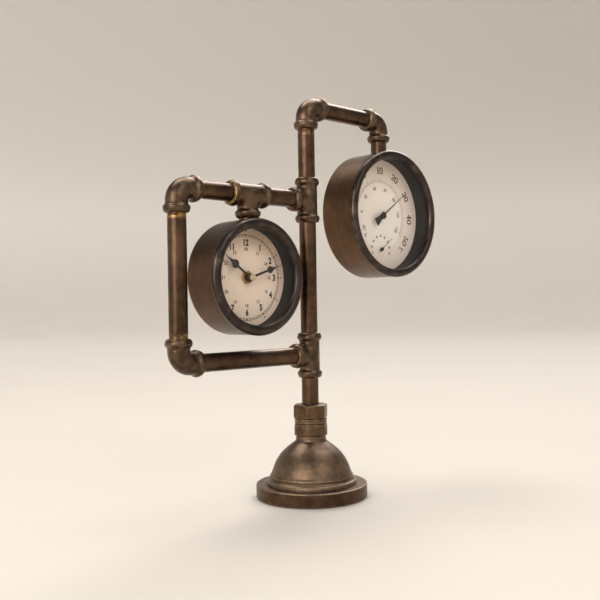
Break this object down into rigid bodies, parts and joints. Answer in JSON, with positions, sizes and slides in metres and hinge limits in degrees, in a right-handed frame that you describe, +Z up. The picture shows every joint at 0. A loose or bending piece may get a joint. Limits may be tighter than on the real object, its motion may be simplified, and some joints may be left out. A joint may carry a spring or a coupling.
{
  "type": "table clock",
  "caption": "Table clock built of pipes and pipe fittings on a bell-shaped foot, with a clock in a square pipe loop and a thermometer and hygrometer gauge on an arm.",
  "frame": {"origin": "centre of the underside of the foot, on the column's axis", "axes": "+Z up along the column, +X to the right along the arm towards the thermometer, +Y to the back; the dials face -Y"},
  "size_m": [0.3553, 0.113, 0.4096],
  "materials": {
    "pipe": "satin antique bronze, worn lighter at the edges",
    "fitting": "satin antique bronze over a cast surface",
    "base": "satin antique bronze, blotchy",
    "felt": "matte",
    "case": "satin antique bronze",
    "bezel": "dark satin bronze",
    "glass": "clear",
    "liner": "matte",
    "clock_face": "printed, matte",
    "thermo_face": "printed, matte",
    "hands": "satin black",
    "cap": "pale satin",
    "brass": "satin",
    "steel": "satin",
    "housing": "moulded",
    "drive": "moulded",
    "coil": "enamelled copper",
    "board": "solder mask",
    "battery": "printed sleeve, bare of words"
  },
  "bodies": {
    "stand": {"column_lower_pipe": "pipe", "column_middle_pipe": "pipe", "column_upper_pipe": "pipe", "arm_pipe": "pipe", "drop_pipe": "pipe", "loop_bottom_pipe": "pipe", "loop_side_pipe": "pipe", "loop_top_outer_pipe": "pipe", "loop_top_inner_pipe": "pipe", "clock_hanger": "pipe", "lower_tee": "fitting", "upper_tee": "fitting", "clock_tee": "fitting", "top_elbow": "fitting", "arm_elbow": "fitting", "loop_top_elbow": "fitting", "loop_bottom_elbow": "fitting", "base_disc": "base", "base_bell": "base", "base_collar": "base", "base_nut": "base", "base_pad": "felt", "clock_case": "case", "thermo_case": "case", "clock_cover": "case", "thermo_cover": "case", "clock_bezel": "bezel", "thermo_bezel": "bezel", "clock_glass": "glass", "thermo_glass": "glass", "clock_liner": "liner", "thermo_liner": "liner", "clock_dial": "clock_face", "thermo_dial": "thermo_face", "movement_nut": "brass", "thermo_bridge": "brass", "thermo_spiral": "brass", "hygro_spiral": "brass", "cover_screws": "steel", "tie_bolt": "steel", "contact_plus": "steel", "contact_minus": "steel", "movement_case": "housing", "movement_lid": "housing", "drive_block": "drive", "motor_coil": "coil", "circuit_board": "board"},
    "setter": {"set_wheel": "brass", "set_knob": "housing"},
    "minute": {"minute_arbor": "steel", "minute_hand": "hands", "hand_cap": "cap"},
    "hour": {"hour_wheel": "brass", "hour_hand": "hands"},
    "cell": {"battery": "battery"},
    "thermo_needle": {"thermo_arbor": "steel", "thermo_pointer": "hands"},
    "hygro_needle": {"hygro_arbor": "steel", "hygro_pointer": "hands"}
  },
  "joints": [
    {"name": "minute_turn", "type": "hinge", "parent": "stand", "child": "minute", "pos_m": [-0.079, 0, 0.2221], "axis": [0, 1, 0], "continuous": true},
    {"name": "hour_turn", "type": "hinge", "parent": "stand", "child": "hour", "pos_m": [-0.079, 0, 0.2221], "axis": [0, 1, 0], "continuous": true},
    {"name": "set_turn", "type": "hinge", "parent": "stand", "child": "setter", "pos_m": [-0.09026, 0, 0.2286], "axis": [0, 1, 0], "continuous": true},
    {"name": "battery_lift", "type": "slide", "parent": "stand", "child": "cell", "axis": [0, 1, 0], "range_m": [0, 0.03]},
    {"name": "thermo_turn", "type": "hinge", "parent": "stand", "child": "thermo_needle", "pos_m": [0.1122, 0, 0.2929], "axis": [0, 1, 0], "range_deg": [-177.48, 67.32], "stiffness_Nm_per_rad": 0.0005},
    {"name": "hygro_turn", "type": "hinge", "parent": "stand", "child": "hygro_needle", "pos_m": [0.1122, 0, 0.2556], "axis": [0, 1, 0], "range_deg": [-189, 81], "stiffness_Nm_per_rad": 0.0001}
  ],
  "couplings": [
    {"joint": "hour_turn", "follows": "minute_turn", "ratio": 0.083333},
    {"joint": "set_turn", "follows": "minute_turn", "ratio": -0.33333}
  ]
}
